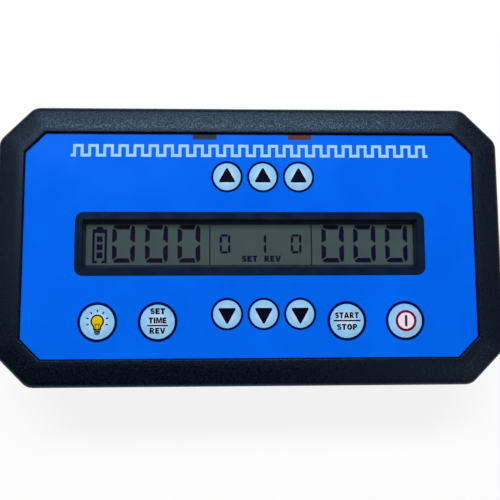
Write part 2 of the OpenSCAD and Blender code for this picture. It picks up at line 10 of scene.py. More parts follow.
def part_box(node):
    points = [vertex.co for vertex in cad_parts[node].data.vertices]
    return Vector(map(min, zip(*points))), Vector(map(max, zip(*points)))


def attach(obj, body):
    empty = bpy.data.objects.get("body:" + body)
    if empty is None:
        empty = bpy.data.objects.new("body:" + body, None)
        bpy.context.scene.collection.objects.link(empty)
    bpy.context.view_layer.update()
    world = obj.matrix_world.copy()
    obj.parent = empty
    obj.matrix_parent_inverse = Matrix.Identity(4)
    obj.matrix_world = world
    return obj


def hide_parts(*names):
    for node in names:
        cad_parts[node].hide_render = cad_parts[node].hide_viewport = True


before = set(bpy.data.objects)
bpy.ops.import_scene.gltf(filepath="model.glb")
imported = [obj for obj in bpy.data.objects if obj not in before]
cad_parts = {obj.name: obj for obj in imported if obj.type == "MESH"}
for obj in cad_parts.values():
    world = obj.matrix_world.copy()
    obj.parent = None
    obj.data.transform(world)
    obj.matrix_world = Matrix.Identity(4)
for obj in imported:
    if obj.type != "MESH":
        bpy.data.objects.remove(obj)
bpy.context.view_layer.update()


# Rear shell
# The back half of the case, moulded in black ABS. A tongue round its rim slips into the front shell,
# posts take the four case screws, and a box in its lower half holds the cells.

mm = 0.001            # Blender's unit is the metre


def corners(name):
    """Lowest and highest corner of a CAD node, in millimetres."""
    low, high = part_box(name)
    return low / mm, high / mm


z_back = corners("rear_shell")[0].z
front_low, front_high = corners("front_shell")
z_split, z_crest = front_low.z, front_high.z
case_w, case_h = (front_high - front_low).xy
corner_cut, corner_r, least_r = 11.8, 5, 0.5
draft = 0.5           # narrowing of each wall from the parting line outward
inner = 3             # from the case's outline to the inside of its walls
back_edge = 2.4       # radius round the back
seam = 0.3            # chamfer of each shell beside the parting line
tongue_t, tongue_h = 1.2, 1.6
tongue = inner - tongue_t
floor_t = 2.5
z_floor = z_back + floor_t
diagonal = 2 - math.sqrt(2)       # how much a corner's cut shrinks as the outline is drawn in by 1 mm
edge_steps = 8        # facets in a rounded edge
quarter = [math.pi / 2 * k / edge_steps for k in range(edge_steps + 1)]


def rounded(tips, r, steps=6):
    """Outline of a convex polygon, given anticlockwise, with its corners rounded."""
    outline = []
    for i, tip in enumerate(tips):
        tip = Vector(tip)
        back = (Vector(tips[i - 1]) - tip).normalized()
        ahead = (Vector(tips[(i + 1) % len(tips)]) - tip).normalized()
        half = back.angle(ahead) / 2
        centre = tip + (back + ahead).normalized() * r / math.sin(half)
        start = math.atan2(back.x, -back.y)
        for k in range(steps + 1):
            turn = start + (math.pi - 2 * half) * k / steps
            outline.append(centre + r * Vector((math.cos(turn), math.sin(turn))))
    return outline


def octagon(w, h, cut, r):
    """Outline of a rectangle with cut corners, each of whose edges is rounded."""
    a, b = w / 2, h / 2
    tips = [(a, cut - b), (a, b - cut), (a - cut, b), (cut - a, b),
            (-a, b - cut), (-a, cut - b), (cut - a, -b), (a - cut, -b)]
    return rounded(tips, r)


def case_outline(inset):
    """Outline of the case, drawn in by a distance."""
    return octagon(case_w - 2 * inset, case_h - 2 * inset, corner_cut - inset * diagonal,
                   max(corner_r - inset, least_r))


def back_outside():
    """The rounded outside of the rear half, from the back face up to the parting line."""
    edge = [(z_back + back_edge * (1 - math.cos(t)), case_outline(draft + back_edge * (1 - math.sin(t))))
            for t in quarter]
    return edge + [(z_split - seam, case_outline(0)), (z_split, case_outline(seam))]


def as_object(name, mesh):
    """The finished bmesh as an object of that name."""
    bmesh.ops.recalc_face_normals(mesh, faces=mesh.faces)
    data = bpy.data.meshes.new(name)
    mesh.to_mesh(data)
    mesh.free()
    piece = bpy.data.objects.new(name, data)
    bpy.context.scene.collection.objects.link(piece)
    return piece


def solid(name, *lofts, places=(Matrix(),), closed=False):
    """Solids through outlines, each loft a list of (height, outline), copied to each place.

    A closed loft runs back to its first outline; any other is capped at both ends.
    """
    mesh = bmesh.new()
    for place in places:
        for loft in lofts:
            rings = [[mesh.verts.new(place @ Vector((p[0], p[1], z)) * mm) for p in outline]
                     for z, outline in loft]
            pairs = list(zip(rings, rings[1:] + rings[:1]))
            for low, high in pairs if closed else pairs[:-1]:
                for i in range(len(low)):
                    j = (i + 1) % len(low)
                    mesh.faces.new((low[i], low[j], high[j], high[i]))
            if not closed:
                mesh.faces.new(rings[0])
                mesh.faces.new(rings[-1])
    return as_object(name, mesh)


rear_shell = solid("rear_shell_moulding", back_outside() + [
    (z_split, case_outline(tongue)), (z_split + tongue_h, case_outline(tongue)),
    (z_split + tongue_h, case_outline(inner)), (z_floor, case_outline(inner))])


def at_corners(x, y):
    """The four points that lie that far from the middle of the case."""
    return [(sx * x, sy * y) for sx in (-1, 1) for sy in (-1, 1)]


def middle(low, high):
    return (low + high) / 2


# Posts for the case screws, the box round the cells with its sliding door, and the pad behind the sockets
screw_low, screw_high = corners("case_screws")
head_r, head_h = 2.75, 2
screw_points = at_corners(screw_high.x - head_r, screw_high.y - head_r)
z_seat = screw_low.z + head_h
post_r, shank_hole_r, head_hole_r = 4.6, 1.65, 3.25

cells = [corners(f"battery_cell_{i}") for i in (1, 2, 3)]
end_room, side_room, roof_room = 3.6, 0.6, 0.3    # from the cells to the walls of their box
bay_x = cells[0][1].x + end_room
bay_low = cells[0][0].y - side_room
bay_high = cells[2][1].y + side_room
bay_wall, bay_roof = 1.5, 1.2
z_roof = cells[0][1].z + roof_room
door_low, door_high = corners("battery_door")
door_t = door_high.z - door_low.z
tongue_x, tongue_out = door_high.x, 1.4           # half the door's width with its tongues, and their reach
door_x = tongue_x - tongue_out
loose = 0.25                      # gap round the door
door_end = door_high.y + loose
sill_t = 0.75                     # floor of the shell under the door's tongues

sockets = {shade: corners(f"socket_body_{shade}") for shade in ("black", "red")}
socket_x = {shade: middle(*box).x for shade, box in sockets.items()}
z_socket = middle(*sockets["black"]).z
y_flange = sockets["black"][1].y
flange_t, flange_r, barrel_r = 1.5, 5, 3.9
pad_margin, pad_t = 8, 2
y_pad = case_h / 2 - inner - pad_t
root = 0.5            # how far an added block is rooted in the wall that carries it


def along_wall(shade, y):
    """Place on a socket's axis, with +Z turned out of the top wall."""
    return Matrix.Translation((socket_x[shade], y, z_socket)) @ Matrix.Rotation(-math.pi / 2, 4, "X")


def rectangle(x, y, w, h, r=0):
    """Outline of a rectangle about a middle point, with or without round corners."""
    tips = [(x + sx * w / 2, y + sy * h / 2) for sx, sy in ((1, -1), (1, 1), (-1, 1), (-1, -1))]
    return rounded(tips, r) if r else tips


def circle(r, x=0, y=0, steps=64):
    turns = [2 * math.pi * k / steps for k in range(steps)]
    return [(x + r * math.cos(t), y + r * math.sin(t)) for t in turns]


def block(low, high):
    """A plain box between two corners, to add to a piece or to cut it with."""
    size, centre = Vector(high) - Vector(low), middle(Vector(low), Vector(high))
    outline = rectangle(centre.x, centre.y, size.x, size.y)
    return solid("tool", [(low[2], outline), (high[2], outline)])


def rods(r, low, high, points):
    """Upright cylinders at points, to add to a piece or to cut it with."""
    return solid("tool", *[[(low, circle(r, x, y)), (high, circle(r, x, y))] for x, y in points])


def combine(piece, operation, *tools):
    """Joins tools to a piece or takes them away from it, and uses them up."""
    for tool in tools:
        step = piece.modifiers.new(operation, "BOOLEAN")
        step.operation, step.solver, step.object = operation, "EXACT", tool
    shaped = piece.evaluated_get(bpy.context.evaluated_depsgraph_get())
    data = bpy.data.meshes.new_from_object(shaped)
    piece.modifiers.clear()
    piece.data = data
    for tool in tools:
        bpy.data.objects.remove(tool)
    return piece


combine(rear_shell, "UNION",
        rods(post_r, z_floor - root, z_split, screw_points),
        block((socket_x["black"] - pad_margin, y_pad, z_floor - root),
              (socket_x["red"] + pad_margin, y_pad + pad_t + root, z_split)),
        block((-bay_x - bay_wall, bay_low - bay_wall - loose - root, z_floor - root),
              (bay_x + bay_wall, bay_high + bay_wall, z_split)),
        block((-bay_x - bay_wall, bay_low - bay_wall, z_split - root),
              (bay_x + bay_wall, bay_high + bay_wall, z_roof + bay_roof)))

foot_high = corners("rubber_feet")[1]
foot_r = 5
foot_points = at_corners(foot_high.x - foot_r, foot_high.y - foot_r)
past = 1              # how far a cut runs past the face that it opens
clear = 0.1           # clearance round a piece in its hole
tab_slot, tab_in = Vector((0.9, 3.5)) / 2, 0.2    # half a contact tab's slot in the roof, and its inset
tab_points = [Vector((side * (bay_x - tab_in), middle(*cells[i]).y)) for side, i in ((1, 0), (-1, 2))]
flange_hole = [(-flange_t, circle(flange_r + clear)), (past, circle(flange_r + clear))]
barrel_hole = [(y_pad - past - y_flange, circle(barrel_r + clear)), (past, circle(barrel_r + clear))]
socket_places = [along_wall(shade, y_flange) for shade in sockets]
combine(rear_shell, "DIFFERENCE",
        rods(head_hole_r, z_back - past, z_seat, screw_points),
        rods(shank_hole_r, z_back, z_split + past, screw_points),
        rods(foot_r + clear, z_back - past, foot_high.z, foot_points),
        solid("tool", flange_hole, places=socket_places),
        solid("tool", barrel_hole, places=socket_places),
        block((-bay_x, bay_low, z_back - past), (bay_x, bay_high, z_roof)),
        *[block((*(at - tab_slot), z_roof - past), (*(at + tab_slot), z_roof + bay_roof + past))
          for at in tab_points],
        block((-door_x - loose, -case_h, z_back - past), (door_x + loose, door_end, z_back + door_t)),
        block((-tongue_x - loose, -case_h, z_back + sill_t),
              (tongue_x + loose, door_end, z_back + door_t + loose)))


def soften(piece, width, angle=40):
    """Breaks the edges of a piece that are sharper than an angle, and shades the rest smooth."""
    piece.data.shade_smooth()
    edges = piece.modifiers.new("edge break", "BEVEL")
    edges.width, edges.segments = width * mm, 2
    edges.limit_method, edges.angle_limit = "ANGLE", math.radians(angle)
    edges.harden_normals = True


def linear(hex_colour):
    """An sRGB hex colour as linear red, green, blue and alpha."""
    parts = [int(hex_colour[i:i + 2], 16) / 255 for i in (1, 3, 5)]
    return [p / 12.92 if p <= 0.04045 else ((p + 0.055) / 1.055) ** 2.4 for p in parts] + [1]


def blank(name):
    """A material whose nodes are still to be added."""
    material = bpy.data.materials.new(name)
    material.use_nodes = True
    material.node_tree.nodes.clear()
    return material


def node(material, kind, inputs=None, **settings):
    """Adds a node: settings by name, and inputs by name or number, each a value or an output to link."""
    made = material.node_tree.nodes.new(kind)
    for name, value in settings.items():
        setattr(made, name, value)
    for key, value in (inputs or {}).items():
        if isinstance(value, bpy.types.NodeSocket):
            material.node_tree.links.new(value, made.inputs[key])
        else:
            made.inputs[key].default_value = value
    return made


noise_low, noise_high = 0.3, 0.7      # the values between which most of a noise pattern lies


def mottled(name, dark, light, grain, rough, bump=0, **principled):
    """A material whose colour, roughness and height follow one grain of that size in millimetres."""
    material = blank(name)
    place = node(material, "ShaderNodeTexCoord").outputs["Object"]
    noise = node(material, "ShaderNodeTexNoise", {"Vector": place, "Scale": 1 / (grain * mm), "Detail": 3})
    spread = node(material, "ShaderNodeMapRange",
                  {"Value": noise.outputs[0], "From Min": noise_low, "From Max": noise_high})
    tone = node(material, "ShaderNodeMix", {0: spread.outputs[0], 6: linear(dark), 7: linear(light)},
                data_type="RGBA")
    gloss = node(material, "ShaderNodeMapRange",
                 {"Value": spread.outputs[0], "To Min": rough[0], "To Max": rough[1]})
    inputs = {"Base Color": tone.outputs[2], "Roughness": gloss.outputs[0]}
    if bump:
        relief = node(material, "ShaderNodeBump", {"Height": spread.outputs[0], "Distance": bump * mm})
        inputs["Normal"] = relief.outputs[0]
    inputs.update({name.replace("_", " ").title().replace("Ior", "IOR"): value
                   for name, value in principled.items()})
    shader = node(material, "ShaderNodeBsdfPrincipled", inputs)
    node(material, "ShaderNodeOutputMaterial", {"Surface": shader.outputs[0]})
    return material


# ABS moulded in a spark-eroded tool: a fine grain that breaks the light into sparks. The real grain is
# about 0.15 mm; it is drawn coarser so that it shows.
abs_grain = mottled("ABS moulded, spark-eroded grain", "#01030d", "#040816", 0.6, (0.24, 0.62), 0.03,
                    specular_ior_level=0.32, specular_tint=linear("#aed6ff"))


def fit(piece, material, body="case", stands_for=()):
    """Gives a piece its material and lets it ride a body."""
    if not piece.data.materials:
        piece.data.materials.append(material)
    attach(piece, body)
    if stands_for:
        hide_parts(*stands_for)


soften(rear_shell, 0.15)
fit(rear_shell, abs_grain, stands_for=["rear_shell"])


# Sensor sockets
# Two panel sockets for 4 mm plugs, black and red: a polyamide body let into the top wall, a turned brass
# contact pressed into it, a steel nut behind the wall, and an insulated wire soldered to the lug.

socket_edge = 0.4     # radius round the flange
barrel_end = sockets["black"][0].y - y_flange
shell_r, mouth_r, mouth_deep, mouth_edge = 3, 2.3, 1, 0.3
flange_round = [(-socket_edge * (1 - math.sin(t)), flange_r - socket_edge * (1 - math.cos(t)))
                for t in reversed(quarter)]
body_profile = ([(0, mouth_r + mouth_edge)] + flange_round
                + [(-flange_t, flange_r), (-flange_t, barrel_r), (barrel_end, barrel_r),
                   (barrel_end, shell_r), (-mouth_deep, shell_r), (-mouth_deep, mouth_r),
                   (-mouth_edge, mouth_r)])
contact_low, contact_high = corners("socket_contact_black")
y_contact = contact_high.y
bore_r, contact_r, bore_deep, contact_end, lug_r = 2, 2.95, 18.5, 1.4, 1.1
contact_edge = 0.1
z_lug = -bore_deep - contact_end
contact_profile = [(-bore_deep, bore_r), (-mouth_edge, bore_r), (0, bore_r + mouth_edge),
                   (0, contact_r - contact_edge), (-contact_edge, contact_r), (z_lug, contact_r),
                   (z_lug, lug_r), (contact_low.y - y_contact, lug_r)]

# Polyamide, moulded: dense colour with a soft, slightly uneven shine.
polyamide = {
    "black": mottled("Polyamide moulded, black", "#0d0e10", "#17191c", 0.8, (0.32, 0.45), 0.01),
    "red": mottled("Polyamide moulded, red", "#8f1516", "#a91c1b", 0.8, (0.32, 0.45), 0.01)}
# PVC insulation: extruded, so smooth along the wire and a little waxy.
pvc = {
    "black": mottled("PVC insulation extruded, black", "#131416", "#1f2124", 1.2, (0.4, 0.55)),
    "red": mottled("PVC insulation extruded, red", "#9c1a18", "#b3231f", 1.2, (0.4, 0.55))}
# Brass, turned on a lathe: yellow metal with faint rings from the tool.
brass = mottled("Brass turned", "#a77f33", "#d0aa58", 0.5, (0.22, 0.36), 0.004, metallic=1)
# Steel, zinc-plated: cool grey metal with a cloudy passivated skin.
zinc = mottled("Steel zinc-plated", "#8f949b", "#b9bec4", 0.9, (0.28, 0.42), 0.004, metallic=1)


def turned(profile):
    """A round loft through a profile of (height, radius)."""
    return [(z, circle(r)) for z, r in profile]


same_point = 0.001    # points closer than this are one


def dress(material, *names, edge=0.1):
    """Gives CAD nodes a material and breaks their edges, with their own meshes left as they are."""
    for name in names:
        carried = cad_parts[name]
        carried.data.materials.clear()
        carried.data.materials.append(material)
        weld = carried.modifiers.new("one skin", "WELD")
        weld.merge_threshold = same_point * mm
        edges = carried.modifiers.new("edge break", "BEVEL")
        edges.width, edges.segments, edges.limit_method = edge * mm, 2, "ANGLE"
        carried.modifiers.new("flat faces", "WEIGHTED_NORMAL")


for shade in sockets:
    body = solid(f"socket_{shade}", turned(body_profile),
                 places=[along_wall(shade, y_flange)], closed=True)
    soften(body, 0.08)
    fit(body, polyamide[shade], stands_for=[f"socket_body_{shade}"])
    contact = solid(f"socket_{shade}_contact", turned(contact_profile),
                    places=[along_wall(shade, y_contact)])
    soften(contact, 0.05)
    fit(contact, brass, stands_for=[f"socket_contact_{shade}"])
    dress(pvc[shade], f"sensor_lead_{shade}")
dress(zinc, "socket_nuts", edge=0.2)


# Battery contacts and leads
# Spring strips of nickel-plated steel, bent in a press tool and slid into the ends of the bay. Tabs on two
# of them come up through the roof, where the leads to the board are soldered on.

# Nickel plate: a bright warm grey with a brushed rolling grain.
nickel = mottled("Nickel plate on spring steel", "#a9a69e", "#cfccc4", 0.6, (0.2, 0.34), 0.004, metallic=1)
dress(nickel, "battery_contacts", edge=0.05)
dress(pvc["red"], "battery_leads")


# Cells
# Three round 1.5 V cells, laid head to tail. Each is a steel can with a pressed nub at one end, in a printed
# shrink sleeve that is drawn in over both rims.

nub_h, nub_r = 1, 2.75
sleeve_band = (14, 16.5)          # a plain pale ring printed on the sleeve, from the nub's end
sleeve_in = 0.9                   # how far the sleeve is drawn in over the can's ends
# The rounded rim under the sleeve, and the nub: steps back from the end and in from the full radius
rim_steps = [(0.2, 1), (0.05, 0.8), (0.1, 0.35), (0.4, 0.06), (0.9, 0)]
nub_steps = [(0.4, 0), (0.1, 0.15), (0, 0.5)]
nub_foot, nub_foot_r = 0.15, nub_r + 0.5
dent_deep, dent_r, base_r, groove_w = 0.25, 4.4, 4.9, 1.5
# Polyester shrink sleeve: printed from behind, so glossy, with a slight ripple from shrinking.
sleeve = mottled("Polyester shrink sleeve, graphite", "#2b3036", "#3a4047", 3, (0.18, 0.3), 0.02)
sleeve_ring = mottled("Polyester shrink sleeve, pale ring", "#b9c0c4", "#cdd3d6", 3, (0.18, 0.3), 0.02)
# Nickel-plated can: bright pressed metal at both ends.
can = mottled("Nickel-plated steel can", "#a6a8a8", "#c9cbcb", 0.7, (0.18, 0.3), 0.004, metallic=1)


def smooth(piece, angle):
    """Shades a piece smooth, apart from edges sharper than an angle in degrees."""
    piece.data.shade_smooth()
    piece.data.set_sharp_from_angle(angle=math.radians(angle))


for i, (low, high) in enumerate(cells):
    half, r = (high.x - low.x) / 2, (high.z - low.z) / 2
    top = half - nub_h
    profile = ([(dent_deep - half, dent_r), (-half, base_r), (-half, r - groove_w)]
               + [(back - half, r - inward) for back, inward in rim_steps]
               + [(top - back, r) for back in reversed(sleeve_band)]
               + [(top - back, r - inward) for back, inward in reversed(rim_steps)]
               + [(top - nub_foot, nub_foot_r), (top, nub_r)]
               + [(half - back, nub_r - inward) for back, inward in nub_steps])
    centre = middle(low, high)
    laid = Matrix.Rotation(math.pi / 2 * (-1) ** i, 4, "Y")
    cell = solid(f"cell_{i + 1}", turned(profile), places=[Matrix.Translation(centre) @ laid])
    for finish in (sleeve, sleeve_ring, can):
        cell.data.materials.append(finish)
    for face in cell.data.polygons:
        at = face.center / mm - centre
        along = (laid.inverted() @ at).z
        on_can = at.yz.length < r - sleeve_in
        face.material_index = 2 if on_can else int(sleeve_band[0] < top - along < sleeve_band[1])
    smooth(cell, 50)
    fit(cell, sleeve, stands_for=[f"battery_cell_{i + 1}"])


# Battery door
# A moulded plate of the same ABS that slides out over the bottom edge. A tongue along each side runs in the
# shell, and finger grooves and a sunk arrow near the edge show which way it goes.

grooves, grip_pitch, grip_w, grip_l, grip_deep = 5, 2.4, 1.2, 24, 0.5
grip_low = bay_low + 7.25
grip_r = grip_w / 2.01            # a shade under half, so that the round ends keep a short flat
slide_arrow, slide_arrow_r, arrow_gap = [(-4, 2), (0, -2.5), (4, 2)], 0.4, 4
tongue_gap = 0.2
door = solid("battery_door_moulding", back_outside())
plate = combine(
    block((-door_x, -case_h, z_back - past), (door_x, door_high.y, z_back + door_t)), "UNION",
    block((-tongue_x, -case_h, z_back + sill_t + tongue_gap), (tongue_x, door_high.y, z_back + door_t)))
combine(door, "INTERSECT", plate)
sunk_signs = [rectangle(0, grip_low + k * grip_pitch, grip_l, grip_w, grip_r) for k in range(grooves)]
arrow_y = grip_low + grooves * grip_pitch + arrow_gap
sunk_signs.append(rounded([(x, arrow_y + y) for x, y in slide_arrow], slide_arrow_r))
combine(door, "DIFFERENCE",
        solid("tool", *[[(z_back - past, sign), (z_back + grip_deep, sign)] for sign in sunk_signs]))
soften(door, 0.15)
fit(door, abs_grain, "battery_door", ["battery_door"])


# Feet
# Four discs of soft rubber, moulded with a shallow dish underneath and glued into recesses in the back.

# Rubber, moulded: dull black that takes dust, with hardly any shine.
rubber = mottled("Rubber moulded, matt", "#101011", "#1e1e1f", 0.6, (0.75, 0.95), 0.02)
foot_taper, foot_edge, dish_r, dish_slope, dish_deep = 0.4, 0.6, 2.8, 0.4, 0.25
foot_base_r = foot_r - foot_taper
foot_profile = ([(dish_deep, dish_r - dish_slope), (0, dish_r)]
                + [(foot_edge * (1 - math.cos(t)), foot_base_r - foot_edge * (1 - math.sin(t)))
                   for t in quarter]
                + [(foot_high.z, foot_r)])


def upright(points):
    """Places for round pieces that stand in the back, at points."""
    return [Matrix.Translation((x, y, 0)) for x, y in points]


feet = solid("feet", turned(foot_profile), places=upright(foot_points))
soften(feet, 0.1)
fit(feet, rubber, stands_for=["rubber_feet"])


# Circuit board
# A sheet of glass-fibre laminate under green solder mask, screwed to the front shell's pillars. The key
# switches and the display stand on its face; chip, crystal, capacitors and buzzer hang underneath.

# Glass-fibre laminate under solder mask: glossy green over a fine weave.
laminate = mottled("Glass-fibre laminate, green solder mask", "#124a2a", "#1d6a3d", 1.2, (0.22, 0.4), 0.01)
# Epoxy moulding compound: matt black with a grit of silica.
epoxy = mottled("Epoxy moulding compound, matt", "#17181a", "#26272a", 0.4, (0.55, 0.75), 0.01)
# Drawn steel can: plain bright metal, soldered to the board.
crystal_can = mottled("Drawn steel can, tinned", "#a8abaf", "#c9ccd0", 0.8, (0.2, 0.35), 0.004, metallic=1)
# Polybutylene, moulded: dense dark grey with a dry surface.
switch_plastic = mottled("Polybutylene moulded, dark grey", "#2c2d30", "#3d3f43", 0.6, (0.4, 0.55), 0.01)
# PVC sleeve shrunk on an aluminium can: smooth dark blue.
capacitor_sleeve = mottled("PVC sleeve on aluminium can", "#1c2748", "#2a3866", 2, (0.25, 0.4))
dress(laminate, "main_board", edge=0.15)
dress(epoxy, "microcontroller", edge=0.3)
dress(crystal_can, "quartz_crystal", edge=0.8)
dress(switch_plastic, "piezo_buzzer", "switch_bodies", edge=0.3)
dress(capacitor_sleeve, "board_capacitors", edge=0.5)
dress(zinc, "board_screws", edge=0.1)


# Display
# A liquid-crystal glass in a moulded holder. Strips of layered rubber press its edges on the board's pads, a
# plastic light guide lies behind it, and the polarising film on its face makes the grey-green field.

# Polycarbonate, moulded: matt black, to keep stray light out.
holder_plastic = mottled("Polycarbonate moulded, matt black", "#121316", "#1d1f22", 0.6, (0.5, 0.65), 0.01)
# Acrylic light guide: milky white.
light_guide = mottled("Acrylic light guide, milky", "#dfe3dc", "#f0f2ec", 2, (0.25, 0.4))
# Layered silicone rubber: pale pink with a fine dark stripe where each layer conducts.
layered_rubber = mottled("Silicone rubber, layered", "#8f6a64", "#e0b3aa", 0.5, (0.6, 0.75))
# Display glass without the film: a dark, faintly purple sheet with a clean shine.
display_glass = mottled("Display glass, coated", "#1e2340", "#282d4e", 6, (0.06, 0.12))
# Polarising film over the crystal: an even grey-green, half of it painted light, a glow that fills the shade
# the window frame casts over the field's upper rows.
polariser_painted_glow = mottled("Polarising film, grey-green with painted glow", "#2c3639", "#333e40", 9, (0.1, 0.16),
                    emission_color=linear("#303b3d"), emission_strength=1, specular_ior_level=0.2)
# Switched crystal: dark areas that turn from navy to plum, as if printed in the glass.
dark_crystal = mottled("Liquid crystal, switched dark", "#02082c", "#180b1b", 24, (0.1, 0.16),
                       specular_ior_level=0.2)

dress(holder_plastic, "lcd_holder", edge=0.15)
dress(light_guide, "lcd_backlight", edge=0.1)
dress(layered_rubber, "zebra_strips", edge=0.05)
dress(display_glass, "lcd_glass", edge=0.15)
# The film's glow is painted light that evens out the frame's shade on the field.
dress(polariser_painted_glow, "lcd_film", edge=0.03)

film_low, film_high = corners("lcd_film")
mark_t = 0.02         # thickness given to a printed or switched mark
sunk = 0.01           # how far a mark is let into the surface under it


def marks(name, outlines, z):
    """Flat marks of those outlines on a surface at that height."""
    return solid(name, *[[(z - sunk, outline), (z + mark_t, outline)] for outline in outlines])


def ribbon(points, width):
    """Outline of a line of that width with mitred corners."""
    sharpest = 0.2        # limit on a mitre, as the cosine of half its turn
    sides = ([], [])
    points = [Vector(p) for p in points]
    for i, point in enumerate(points):
        back = (point - points[i - 1]).normalized() if i else None
        ahead = (points[i + 1] - point).normalized() if i + 1 < len(points) else None
        along = ((back or ahead) + (ahead or back)).normalized()
        across = Vector((-along.y, along.x))
        reach = width / 2 / max(sharpest, across.dot(Vector((-(ahead or back).y, (ahead or back).x))))
        sides[0].append(point + across * reach)
        sides[1].append(point - across * reach)
    return sides[1] + sides[0][::-1]


def arc(x, y, rx, ry, start, end, steps=12):
    """Points of an arc of an ellipse, between two angles in degrees."""
    turns = [math.radians(start + (end - start) * k / steps) for k in range(steps + 1)]
    return [(x + rx * math.cos(t), y + ry * math.sin(t)) for t in turns]


# Block capitals, one unit high, drawn with a pen of even width: outlines, the outer one first
pen, pen_across, letter_gap = 0.35, 0.27, 0.1
s_half, s_pen = 0.4, 0.25
s_reach, s_rise = s_half - s_pen / 2, (1 - s_pen) / 4
CAPITALS = {
    "A": [[(0, 0), (0.34, 0), (0.39, 0.16), (0.69, 0.16), (0.74, 0), (1.08, 0), (0.73, 1), (0.35, 1)],
          [(0.46, 0.39), (0.62, 0.39), (0.54, 0.7)]],
    "E": [[(0, 0), (0.77, 0), (0.77, pen_across), (pen, pen_across), (pen, 0.38), (0.7, 0.38), (0.7, 0.62),
           (pen, 0.62), (pen, 1 - pen_across), (0.75, 1 - pen_across), (0.75, 1), (0, 1)]],
    "I": [[(0, 0), (pen, 0), (pen, 1), (0, 1)]],
    "M": [[(0, 0), (0.28, 0), (0.28, 0.62), (0.46, 0), (0.68, 0), (0.86, 0.62), (0.86, 0), (1.14, 0),
           (1.14, 1), (0.76, 1), (0.57, 0.38), (0.38, 1), (0, 1)]],
    "O": [arc(0.5, 0.5, 0.5, 0.5, 0, 345, 23), arc(0.5, 0.5, 0.5 - pen, 0.5 - pen_across, 0, 345, 23)],
    "P": [[(0, 0), (pen, 0), (pen, 0.34)] + arc(0.49, 0.67, 0.33, 0.33, -90, 90) + [(0, 1)],
          [(pen, 0.58)] + arc(0.47, 0.67, 0.09, 0.09, -90, 90) + [(pen, 0.76)]],
    "R": [[(0, 0), (pen, 0), (pen, 0.36), (0.37, 0.36), (0.57, 0), (0.95, 0), (0.66, 0.4)]
          + arc(0.5, 0.68, 0.32, 0.32, -55, 90) + [(0, 1)],
          [(pen, 0.59)] + arc(0.48, 0.68, 0.09, 0.09, -90, 90) + [(pen, 0.77)]],
    "S": [ribbon(arc(s_half, 0.5 + s_rise, s_reach, s_rise, 15, 270)
                 + arc(s_half, 0.5 - s_rise, s_reach, s_rise, 90, -165)[1:], s_pen)],
    "T": [[(0.42 - pen / 2, 0), (0.42 + pen / 2, 0), (0.42 + pen / 2, 1 - pen_across), (0.84, 1 - pen_across),
           (0.84, 1), (0, 1), (0, 1 - pen_across), (0.42 - pen / 2, 1 - pen_across)]],
    "V": [[(0.35, 0), (0.7, 0), (1.05, 1), (0.71, 1), (0.525, 0.38), (0.34, 1), (0, 1)]]}

touching = 1e-8       # metres, under which two points of a letter are one


def words(text, x, y, w, h, z):
    """Flat lettering that fills a box about a middle point, as a mesh object."""
    curve = bpy.data.curves.new(text, "CURVE")
    curve.dimensions, curve.fill_mode, curve.extrude = "2D", "BOTH", 0.5
    start = 0
    for capital in text:
        for outline in CAPITALS[capital]:
            spline = curve.splines.new("POLY")
            spline.points.add(len(outline) - 1)
            spline.use_cyclic_u = True
            for point, place in zip(spline.points, outline):
                point.co = (start + place[0], place[1], 0, 1)
        start += max(place[0] for place in CAPITALS[capital][0]) + letter_gap
    letters = bpy.data.objects.new(text, curve)
    bpy.context.scene.collection.objects.link(letters)
    data = bpy.data.meshes.new_from_object(letters.evaluated_get(bpy.context.evaluated_depsgraph_get()))
    bpy.data.objects.remove(letters)
    points = [v.co for v in data.vertices]
    low = Vector([min(p[k] for p in points) for k in range(3)])
    high = Vector([max(p[k] for p in points) for k in range(3)])
    size = high - low
    for p in points:
        p.x = (x + ((p.x - low.x) / size.x - 0.5) * w) * mm
        p.y = (y + ((p.y - low.y) / size.y - 0.5) * h) * mm
        p.z = (z - sunk + (p.z - low.z) / size.z * (mark_t + sunk)) * mm
    mesh = bmesh.new()
    mesh.from_mesh(data)
    bmesh.ops.remove_doubles(mesh, verts=mesh.verts, dist=touching)
    return as_object(text, mesh)


def merge(name, *pieces):
    """One mesh object from several."""
    mesh = bmesh.new()
    for piece in pieces:
        mesh.from_mesh(piece.data)
        bpy.data.objects.remove(piece)
    return as_object(name, mesh)


def digit(x, y, w, h, share, lit):
    """Outlines of a seven-part digit's lit bars, a share of its width thick, from its lower left corner."""
    bar, half = share * w, h / 2
    across = [(0.27 * bar, half - 0.45 * bar), (1.07 * bar, half - 0.95 * bar),
              (w - 1.22 * bar, half - 0.95 * bar), (w - 0.98 * bar, half), (0.57 * bar, half)]
    left = [(0.05 * bar, 0.42 * bar), (0.25 * bar, 0.22 * bar), (1.02 * bar, 0.8 * bar),
            (1.02 * bar, half - 1.25 * bar), (0.3 * bar, half - 0.72 * bar), (0.08 * bar, half - 0.74 * bar)]
    right = [(w - 1.02 * bar, 0.95 * bar), (w - 0.25 * bar, 0.2 * bar), (w - 0.02 * bar, 0.42 * bar),
             (w, half - 0.85 * bar), (w - 0.25 * bar, half - 0.25 * bar), (w - 0.6 * bar, half - 0.1 * bar),
             (w - 0.93 * bar, half - 0.95 * bar)]
    bars = {"top": (across, 1), "upper_left": (left, 1), "upper_right": (right, 1),
            "bottom": (across, -1), "lower_left": (left, -1), "lower_right": (right, -1)}
    return [[(x + px, y + half + side * py) for px, py in outline]
            for outline, side in (bars[name] for name in lit)]


nought = ("top", "upper_left", "upper_right", "bottom", "lower_left", "lower_right")
one = ("upper_right", "lower_right")
big_w, big_h, big_y, big_bar = 7.75, 12.75, -5.83, 0.21
big_x = (-46.6, -35.6, -24.75, 23.85, 34.68, 45.6)
small_w, small_h, small_y, small_bar = 3.7, 6.5, -2.75, 0.24
small_x = {-10.57: nought, 1.53: one, 13.47: nought}
divider_x, divider_w = (-13.8, 20.5), 0.35

